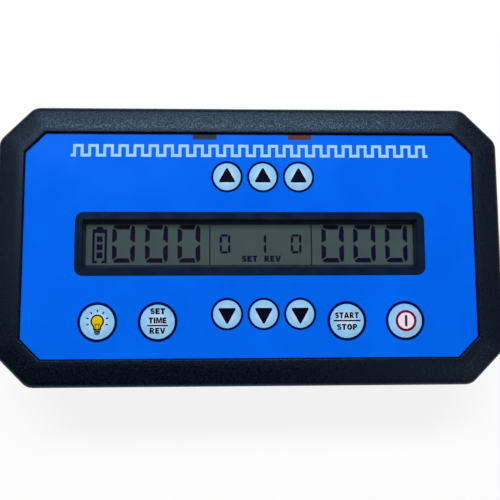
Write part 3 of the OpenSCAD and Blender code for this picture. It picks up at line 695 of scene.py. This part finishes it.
# The battery sign: an upright cell drawn in outline, open at the foot, with three bars of charge
sign_x, sign_w, sign_low, sign_high = -50.65, 4.9, -5.95, 5.5
sign_line, sign_top, sign_cap, sign_gap = 0.82, 1.3, (2.0, 0.8), 1.4
bar_side, bar_r, bar_y = 2.0, 0.25, (2.15, -0.6, -3.3)
side, wall, cap, gap = sign_w / 2, sign_w / 2 - sign_line, sign_cap[0] / 2, sign_gap / 2
outer = [(gap, sign_low), (side, sign_low), (side, sign_high), (cap, sign_high),
         (cap, sign_high + sign_cap[1])]
hollow = [(wall, sign_high - sign_top), (wall, sign_low + sign_line), (gap, sign_low + sign_line)]
sign = [(sign_x + px, py) for px, py in
        outer + [(-px, py) for px, py in reversed(outer)]
        + [(-px, py) for px, py in reversed(hollow)] + hollow]

outlines = [sign] + [rectangle(sign_x, y, bar_side, bar_side, bar_r) for y in bar_y]
for x in big_x:
    outlines += digit(x, big_y, big_w, big_h, big_bar, nought)
for x, lit in small_x.items():
    outlines += digit(x, small_y, small_w, small_h, small_bar, lit)
film_h = film_high.y - film_low.y
outlines += [rectangle(x, middle(film_low, film_high).y, divider_w, film_h) for x in divider_x]
segments = marks("display_segments", outlines, film_high.z)
fit(segments, dark_crystal)
word_y, word_h = -4.53, 2.1
captions = merge("display_captions", words("SET", -0.4, word_y, 5.3, word_h, film_high.z),
                 words("REV", 7.35, word_y, 5.6, word_h, film_high.z))
fit(captions, dark_crystal)


# Front shell
# The face half of the case, in the same ABS. Its wall turns through a round shoulder into a sloping bezel,
# which bends into a level crest round the recess for the printed overlay.

overlay_low, overlay_high = corners("graphic_overlay")
overlay_w, overlay_h = (overlay_high - overlay_low).xy
overlay_cut = 6.6
z_face, z_panel = overlay_high.z, overlay_low.z
panel_t = 2.5
z_inside = z_panel - panel_t
bezel_fall, shoulder_r, crest_flat = 1.2, 2.2, 1.9
crest_bend, crest_edge = 12, 0.25     # radii at the outside and the inside of the crest
recess_r = 0.8        # corner radius of the recess
crest_out = loose + crest_flat
crest_span = (overlay_w + 2 * crest_out, overlay_h + 2 * crest_out, overlay_cut + crest_out * diagonal)
shoulder_span = (case_w - 2 * draft, case_h - 2 * draft, corner_cut - draft * diagonal)
bezel_run = (shoulder_span[1] - crest_span[1]) / 2
slope = math.atan(bezel_fall / bezel_run)
shoulder_turn = math.pi / 2 - slope
z_shoulder = z_crest - bezel_fall - shoulder_r * math.tan(shoulder_turn / 2)


def bezel(t):
    """Outline between the shoulder, at 0, and the crest, at 1."""
    w, h, cut = (s + t * (c - s) for s, c in zip(shoulder_span, crest_span))
    return octagon(w, h, cut, corner_r + t * (recess_r + crest_flat - corner_r))


def crest(out):
    """Outline that far outside the wall of the recess."""
    reach = loose + out
    return octagon(overlay_w + 2 * reach, overlay_h + 2 * reach, overlay_cut + reach * diagonal,
                   recess_r + out)


outside = [(z_split, case_outline(seam)), (z_split + seam, case_outline(0))]
steps = [k / edge_steps for k in range(edge_steps + 1)]
for turn in [shoulder_turn * k for k in steps]:
    outside.append((z_shoulder + shoulder_r * math.sin(turn),
                    bezel(shoulder_r * (1 - math.cos(turn)) / bezel_run)))
bend_end = crest_flat - crest_bend * math.tan(slope / 2)
for turn in [slope * (1 - k) for k in steps]:
    outside.append((z_crest - crest_bend * (1 - math.cos(turn)),
                    crest(bend_end + crest_bend * math.sin(turn))))
for turn in quarter:
    outside.append((z_crest - crest_edge * (1 - math.cos(turn)), crest(crest_edge * (1 - math.sin(turn)))))
z_groove = z_split + tongue_h + loose
front_shell = solid("front_shell_moulding", [
    (z_inside, case_outline(inner)), (z_groove, case_outline(inner)),
    (z_groove, case_outline(tongue - clear)), (z_split, case_outline(tongue - clear))]
    + outside + [(z_panel, crest(0))])

# Bosses for the case screws, pillars for the board, and openings for the window and the keys' stems
boss_r, boss_hole_r, pilot_past = 3.5, 1.45, 2
pillar_r, pillar_hole_r, pillar_in, board_pilot_past = 2.95, 1, 4, 0.6
z_pilot = screw_high.z + pilot_past
z_board_pilot = corners("board_screws")[1].z + board_pilot_past
board_high = corners("main_board")[1]
pillar_points = at_corners(board_high.x - pillar_in, board_high.y - pillar_in)
window_low, window_high = corners("window_frame")
lens_low, lens_high = corners("window_lens")
window_y = middle(window_low, window_high).y
opening_w, opening_h = lens_high.x - lens_low.x + clear, lens_high.y - lens_low.y + clear
skirt_t, skirt_r = 0.9, 1.5       # of the window frame's skirt, which passes through the panel
skirt_room = 2 * (skirt_t + clear)
skirt_hole = rectangle(0, window_y, opening_w + skirt_room, opening_h + skirt_room, skirt_r)
keys = {name[4:]: corners(name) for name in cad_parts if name.startswith("key_")}
key_points = {name: middle(*box).xy for name, box in keys.items()}
stem_r, stem_hole_r = 2.5, 2.85
combine(front_shell, "UNION",
        rods(boss_r, z_split, z_inside + root, screw_points),
        rods(pillar_r, board_high.z, z_inside + root, pillar_points))
combine(front_shell, "DIFFERENCE",
        rods(boss_hole_r, z_split - past, z_pilot, screw_points),
        rods(pillar_hole_r, board_high.z - past, z_board_pilot, pillar_points),
        solid("tool", [(z_inside - past, skirt_hole), (z_panel + past, skirt_hole)]),
        rods(stem_hole_r, z_inside - past, z_panel + past, key_points.values()))
soften(front_shell, 0.12)
fit(front_shell, abs_grain, stands_for=["front_shell"])


# Case screws
# Four pan-head steel screws with a cross recess, driven from behind through the rear shell's posts into the
# front shell's bosses.

shank_r, cross_w, cross_l, cross_deep = 1.4, 0.9, 3.4, 1.1
flat_r, pan_h, point_l, point_r = 1.2, 0.9, 1.2, 0.5
z_head = screw_low.z
screw_profile = ([(z_head + pan_h * (1 - math.cos(t)), flat_r + (head_r - flat_r) * math.sin(t))
                  for t in quarter]
                 + [(z_seat, head_r), (z_seat, shank_r), (screw_high.z - point_l, shank_r),
                    (screw_high.z, point_r)])
screws = solid("case_screw_set", turned(screw_profile), places=upright(screw_points))
for arm in (rectangle(0, 0, cross_l, cross_w), rectangle(0, 0, cross_w, cross_l)):
    combine(screws, "DIFFERENCE",
            solid("tool", [(z_head - past, arm), (z_head + cross_deep, arm)], places=upright(screw_points)))
soften(screws, 0.06)
fit(screws, zinc, stands_for=["case_screws"])


# Window
# A gloss-black frame pressed through the panel, and a clear acrylic pane on a step inside it.

# ABS moulded in a polished tool: near-black with an even, soft gloss.
abs_gloss = mottled("ABS moulded, polished tool", "#0a1526", "#0e1b30", 5, (0.2, 0.28),
                    specular_ior_level=0.3, specular_tint=linear("#aed6ff"))
frame_w, frame_h = (window_high - window_low).xy
frame_r, opening_r, ledge = 2.8, 0.6, 0.25


def frame_ring(grow, r):
    """Outline of the window's opening, grown by a distance."""
    return rectangle(0, window_y, opening_w + 2 * grow, opening_h + 2 * grow, r)


frame_outline = rectangle(0, window_y, frame_w, frame_h, frame_r)
ring_sections = [
    (window_high.z, frame_outline), (window_high.z, frame_ring(0, opening_r)),
    (lens_low.z, frame_ring(0, opening_r)), (lens_low.z, frame_ring(-ledge, opening_r)),
    (window_low.z, frame_ring(-ledge, opening_r)), (window_low.z, frame_ring(skirt_t, skirt_r)),
    (z_panel, frame_ring(skirt_t, skirt_r)), (z_panel, frame_outline)]
window = solid("window_frame_moulding", ring_sections, closed=True)
smooth(window, 40)
fit(window, abs_gloss, stands_for=["window_frame"])

# Acrylic, cast sheet: clear, with a clean gloss and a trace of wiping marks. Lamps shine through it.
acrylic = blank("Acrylic cast sheet, clear")
wipe = 14             # width of a wiping mark
place = node(acrylic, "ShaderNodeTexCoord").outputs["Object"]
wiping = node(acrylic, "ShaderNodeTexNoise", {"Vector": place, "Scale": 1 / (wipe * mm), "Detail": 2})
haze = node(acrylic, "ShaderNodeMapRange", {"Value": wiping.outputs[0], "To Min": 0.01, "To Max": 0.05})
pane_shader = node(acrylic, "ShaderNodeBsdfPrincipled", {
    "Base Color": linear("#f4f7f6"), "Roughness": haze.outputs[0], "IOR": 1.49, "Transmission Weight": 1})
clear_way = node(acrylic, "ShaderNodeBsdfTransparent")
rays = node(acrylic, "ShaderNodeLightPath").outputs
lamp_rays = node(acrylic, "ShaderNodeMath", {0: rays["Is Shadow Ray"], 1: rays["Is Diffuse Ray"]},
                 operation="MAXIMUM")
both_ways = node(acrylic, "ShaderNodeMixShader",
                 {0: lamp_rays.outputs[0], 1: pane_shader.outputs[0], 2: clear_way.outputs[0]})
node(acrylic, "ShaderNodeOutputMaterial", {"Surface": both_ways.outputs[0]})
sheet_outline = rectangle(0, window_y, *(lens_high - lens_low).xy, opening_r)
pane = solid("window_pane", [(lens_low.z, sheet_outline), (lens_high.z, sheet_outline)])
fit(pane, acrylic, stands_for=["window_lens"])


# Printed overlay
# A sheet of polyester, screen-printed in blue from behind and laminated into the recess. Two colour marks
# on its upper edge stand over the sockets, and a printed train of pulses runs across the top.

# Polyester film, screen-printed from behind: a deep even blue under a smooth, low gloss.
print_blue = mottled("Polyester film, printed blue", "#005fe4", "#0067ee", 25, (0.1, 0.14),
                     specular_ior_level=0.3)
overlay_r, overlay_edge = 0.6, 0.08
overlay = solid("overlay_sheet", [
    (z, octagon(overlay_w - 2 * inset, overlay_h - 2 * inset, overlay_cut - inset * diagonal, overlay_r))
    for z, inset in ((z_panel, 0), (z_face - overlay_edge, 0), (z_face, overlay_edge))])
frame_hole = rectangle(0, window_y, frame_w + 2 * clear, frame_h + 2 * clear, frame_r + clear)
key_gap = 0.08
key_r = {name: (high.x - low.x) / 2 for name, (low, high) in keys.items()}
combine(overlay, "DIFFERENCE",
        solid("tool", [(z_panel - past, frame_hole), (z_face + past, frame_hole)]),
        *[rods(key_r[name] + key_gap, z_panel - past, z_face + past, [key_points[name]]) for name in keys])
smooth(overlay, 30)
fit(overlay, print_blue, stands_for=["graphic_overlay"])


def ink(name, dark, light, grain, rough=(0.1, 0.14)):
    """Screen ink: a thin, even, opaque layer with the same low gloss as the film."""
    return mottled(f"Screen ink, {name}", dark, light, grain, rough, specular_ior_level=0.3)


ink_slate = ink("slate", "#263244", "#2e3b50", 4)
ink_maroon = ink("maroon", "#55313c", "#613843", 4)
ink_pale = ink("pale blue", "#92c3f8", "#a2cefb", 4)
mark_w, mark_h = 8, 1.8
mark_y = overlay_h / 2 - overlay_edge - mark_h / 2
for shade, colour in (("black", ink_slate), ("red", ink_maroon)):
    mark = marks(f"overlay_mark_{shade}", [rectangle(socket_x[shade], mark_y, mark_w, mark_h)], z_face)
    fit(mark, colour)

pulse_low, pulse_high, pulse_line, pulse_pitch, pulses = 29.9, 33.2, 0.95, 5.0, 24
pulse_left = -pulse_pitch * pulses / 2
train = [(pulse_left, pulse_low)]
for k in range(pulses):
    x = pulse_left + (k + 0.25) * pulse_pitch
    fall = x + pulse_pitch / 2
    train += [(x, pulse_low), (x, pulse_high), (fall, pulse_high), (fall, pulse_low)]
train.append((-pulse_left, pulse_low))
fit(marks("overlay_pulse_train", [ribbon(train, pulse_line)], z_face), ink_pale)


# Keys
# Domes of the same polyester, embossed, each in a printed navy ring. A moulded stem under each dome reaches
# through the panel to the plunger of its switch.

# Polyester film, embossed and printed: pale blue at the rim, fading to almost white in the middle, under the
# same gloss as the sheet.
key_blue = mottled("Polyester film, printed pale blue", "#82bbe5", "#90c7f0", 3, (0.1, 0.14),
                   specular_ior_level=0.3)
fade_start, fade_end = 0.2, 0.72      # of a key's radius, between which the pale middle fades
tone = key_blue.node_tree.nodes["Principled BSDF"].inputs["Base Color"]
place = node(key_blue, "ShaderNodeTexCoord").outputs["Generated"]
aside = node(key_blue, "ShaderNodeVectorMath", {0: place, 1: (0.5, 0.5, 0)}, operation="SUBTRACT")
aside = node(key_blue, "ShaderNodeVectorMath", {0: aside.outputs[0], 1: (2, 2, 0)}, operation="MULTIPLY")
aside = node(key_blue, "ShaderNodeVectorMath", {0: aside.outputs[0]}, operation="LENGTH")
fade = node(key_blue, "ShaderNodeMapRange",
            {"Value": aside.outputs["Value"], "From Min": fade_start, "From Max": fade_end,
             "To Min": 1, "To Max": 0}, interpolation_type="SMOOTHSTEP")
faded = node(key_blue, "ShaderNodeMix",
             {0: fade.outputs[0], 6: tone.links[0].from_socket, 7: linear("#bed5ee")}, data_type="RGBA")
key_blue.node_tree.links.new(faded.outputs[2], tone)
# The same film, printed navy round each key: almost black until light falls on it.
key_navy = mottled("Polyester film, printed navy", "#020a3c", "#051048", 3, (0.1, 0.15),
                   specular_ior_level=0.3)
ink_black = ink("black", "#03081c", "#060c24", 3, (0.1, 0.15))
ink_yellow = ink("yellow", "#d8b80c", "#e0c218", 2)
ink_amber = ink("amber", "#6a4c06", "#7c5a0c", 2)
ink_red = ink("dark red", "#72001f", "#820a2a", 2, (0.15, 0.22))
ink_white = ink("pinkish white", "#dcdcee", "#e6e4f2", 2, (0.22, 0.3))
ring_share = 0.135    # of a key's radius, for its navy ring
crown_w, crown_h = 1.8, 0.06      # width and height of the embossed slope round a key's level top
film_t, break_edge = 0.1, 0.03
z_crown = z_face + crown_h
half_turn = [math.pi * k / edge_steps for k in range(edge_steps + 1)]


def legend(name, key, outlines, colour, lift=0):
    """Printed marks on a key's top, about its middle, which ride with the key."""
    x, y = key_points[key]
    shifted = [[(x + p[0], y + p[1]) for p in outline] for outline in outlines]
    fit(marks(name, shifted, z_crown + lift), colour, f"key_{key}")


for name, (low, high) in keys.items():
    x, y = key_points[name]
    r = key_r[name]
    ring_w = ring_share * r
    profile = [(low.z, stem_r), (z_face - film_t, stem_r), (z_face - film_t, r), (z_face - break_edge, r),
               (z_face, r - break_edge)]
    profile += [(z_face + crown_h * (1 - math.cos(t)) / 2, r - ring_w - crown_w * t / math.pi)
                for t in half_turn]
    key = solid(f"key_{name}_dome", [(z, circle(pr, x, y)) for z, pr in profile])
    for finish in (key_blue, key_navy):
        key.data.materials.append(finish)
    for face in key.data.polygons:
        out = (face.center.xy / mm - Vector((x, y))).length
        face.material_index = int(out > r - ring_w and face.center.z > low.z * mm)
    smooth(key, 40)
    fit(key, key_blue, f"key_{name}", [f"key_{name}"])
    dress(switch_plastic, f"plunger_{name}")

# Arrow keys: a black triangle that points up or down
arrow_tip, arrow_base, arrow_half, arrow_r = 3.4, -1.9, 2.95, 0.42
arrow_sizes = {"up_": 1, "down_": -1.05}      # the lower ones are a little larger
for name in keys:
    for start, size in arrow_sizes.items():
        if name.startswith(start):
            tips = [(size * arrow_half, size * arrow_base), (0, size * arrow_tip),
                    (-size * arrow_half, size * arrow_base)]
            legend(f"legend_{name}", name, [rounded(tips, arrow_r)], ink_black)

# Light key: a glowing bulb on its base
glass_r, glass_y, neck_half, neck_y = 1.68, 0.3, 0.62, -2.2
glass_start, glass_end = -48, 228     # degrees, where the neck leaves the round of the glass
outline_w, wire_w = 0.52, 0.22
wire = [(-0.35, neck_y), (-0.75, -0.5), (-0.25, -1), (0, -0.5), (0.25, -1), (0.75, -0.5), (0.35, neck_y)]
base_widths, base_drop, base_pitch, base_h, base_r = (2.0, 1.9, 1.3), 0.8, 0.45, 0.38, 0.15
ray_in, ray_l, ray_w, ray_step = 2.85, 0.85, 0.44, 36.5


def bulb(grow):
    """Outline of the bulb's glass, grown by a distance."""
    glass = arc(0, glass_y, glass_r + grow, glass_r + grow, glass_start, glass_end, 32)
    return glass + [(-neck_half - grow, neck_y - grow), (neck_half + grow, neck_y - grow)]


legend("legend_light_outline", "light", [bulb(outline_w)], ink_black)
legend("legend_light_bulb", "light", [bulb(0)], ink_yellow, mark_t)
legend("legend_light_filament", "light", [ribbon(wire, wire_w)], ink_amber, 2 * mark_t)
glow = [rectangle(0, neck_y - base_drop - base_pitch * k, w, base_h, base_r)
        for k, w in enumerate(base_widths)]
for k in range(-3, 4):
    turn = math.radians(90 + ray_step * k)
    out = Vector((math.cos(turn), math.sin(turn)))
    start = Vector((0, glass_y)) + out * ray_in
    glow.append(ribbon([start, start + out * ray_l], ray_w))
legend("legend_light_rays", "light", glow, ink_black)

# Set key and start key: printed words with a bar between them
capital_h, bar_h = 1.95, 0.48
WORDS = {                         # each word's height over the key's middle, and its width
    "set": [("SET", 3.45, 4.85), ("TIME", 0.45, 5.8), ("REV", -2.85, 5.15)],
    "start_stop": [("START", 1.85, 7.8), ("STOP", -1.95, 6.6)]}
BARS = {"set": (-1.2, 6.8), "start_stop": (0.1, 8.9)}
for name, lines in WORDS.items():
    x, y = key_points[name]
    drawn = [words(text, x, y + up, w, capital_h, z_crown) for text, up, w in lines]
    up, bar_w = BARS[name]
    drawn.append(marks("bar", [rectangle(x, y + up, bar_w, bar_h)], z_crown))
    fit(merge(f"legend_{name}", *drawn), ink_black, f"key_{name}")

# Power key: an upright stroke in a ring
power_r, power_line, stroke_h = 3.5, 0.85, 3.7
power_x = 0.3
legend("legend_power_disc", "power", [circle(power_r, power_x)], ink_red)
legend("legend_power_field", "power", [circle(power_r - power_line, power_x)], ink_white, mark_t)
legend("legend_power_stroke", "power", [rectangle(power_x, 0, power_line, stroke_h)], ink_red, 2 * mark_t)


# Studio
# A white paper floor swept up into a round wall that fades to grey. A large soft lamp stands high beyond the
# top edge, weak ones stand left, right and beyond the lower right corner, and the camera is over the face.

floor_side, paper_t = 3000, 1
floor_outline = rectangle(0, 0, floor_side, floor_side)
floor = solid("studio_floor", [(-paper_t, floor_outline), (0, floor_outline)])
paper_white = 0.86    # share of the paper that is plain white to the camera and in mirrors


def paper(name, colour, fade=0):
    """Matt paper, partly plain white to the camera and in mirrors, which may fade up to a height."""
    material = blank(name)
    sheet = node(material, "ShaderNodeBsdfDiffuse", {"Color": linear(colour)})
    white = node(material, "ShaderNodeEmission", {"Color": (1, 1, 1, 1), "Strength": 1})
    rays = node(material, "ShaderNodeLightPath").outputs
    seen = node(material, "ShaderNodeMath", {0: rays["Is Camera Ray"], 1: rays["Is Glossy Ray"]},
                operation="MAXIMUM")
    seen = node(material, "ShaderNodeMath", {0: seen.outputs[0], 1: rays["Is Transmission Ray"]},
                operation="MAXIMUM")
    share = node(material, "ShaderNodeMath", {0: seen.outputs[0], 1: paper_white}, operation="MULTIPLY")
    if fade:
        place = node(material, "ShaderNodeTexCoord").outputs["Object"]
        height = node(material, "ShaderNodeSeparateXYZ", {0: place}).outputs[2]
        left = node(material, "ShaderNodeMapRange",
                    {"Value": height, "From Max": fade * mm, "To Min": 1, "To Max": 0})
        left = node(material, "ShaderNodeMath", {0: left.outputs[0], 1: 2}, operation="POWER")
        share = node(material, "ShaderNodeMath", {0: share.outputs[0], 1: left.outputs[0]},
                     operation="MULTIPLY")
    surface = node(material, "ShaderNodeMixShader",
                   {0: share.outputs[0], 1: sheet.outputs[0], 2: white.outputs[0]})
    node(material, "ShaderNodeOutputMaterial", {"Surface": surface.outputs[0]})
    return material


floor.data.materials.append(paper("Paper backdrop, white", "#f4f4f4"))
wall_r, wall_h, wall_fade, sweep_r, sweep_steps = 1450, 900, 800, 350, 12
sweep = [math.pi / 2 * k / sweep_steps for k in range(sweep_steps + 1)]
wall_profile = [(sweep_r * (1 - math.cos(t)), wall_r - sweep_r * (1 - math.sin(t))) for t in sweep]
wall_profile += [(wall_h, wall_r), (wall_h, wall_r + paper_t), (-paper_t, wall_r + paper_t),
                 (-paper_t, wall_r - sweep_r)]
wall = solid("studio_wall", turned(wall_profile), closed=True)
wall.data.materials.append(paper("Paper backdrop, fading to grey", "#8c8c8c", wall_fade))
wall.data.shade_smooth()

lamp_aim = Vector((0, 0, 30))


def lamp(name, at, size, watts):
    """A rectangular soft lamp, turned to the middle of the face."""
    light = bpy.data.lights.new(name, "AREA")
    light.shape, light.size, light.size_y, light.energy = "RECTANGLE", size[0] * mm, size[1] * mm, watts
    stand = bpy.data.objects.new(name, light)
    stand.location = Vector(at) * mm
    stand.rotation_euler = (lamp_aim - Vector(at)).to_track_quat("-Z", "Y").to_euler()
    bpy.context.scene.collection.objects.link(stand)


lamp("lamp_top", (-45, 440, 745), (720, 170), 8.4)
lamp("lamp_left", (-540, 80, 670), (200, 300), 0.28)
lamp("lamp_right", (710, 120, 700), (300, 300), 0.2)
lamp("lamp_low", (470, -350, 700), (300, 300), 0.75)

world = bpy.data.worlds.new("Studio")
bpy.context.scene.world = world
world.use_nodes = True
sky = world.node_tree.nodes["Background"].inputs
sky["Color"].default_value, sky["Strength"].default_value = (1, 1, 1, 1), 0.03

camera_data = bpy.data.cameras.new("camera")
camera_data.lens, camera_data.sensor_width, camera_data.clip_start = 43.2, 36, 0.01
camera = bpy.data.objects.new("camera", camera_data)
camera_at, camera_turn = (-6.98, -21.42, 233.52), (5.64, -1.88, -0.252)
camera.location = Vector(camera_at) * mm
camera.rotation_euler = [math.radians(turn) for turn in camera_turn]
bpy.context.scene.collection.objects.link(camera)
bpy.context.scene.camera = camera
bpy.context.scene.view_settings.view_transform = "Standard"
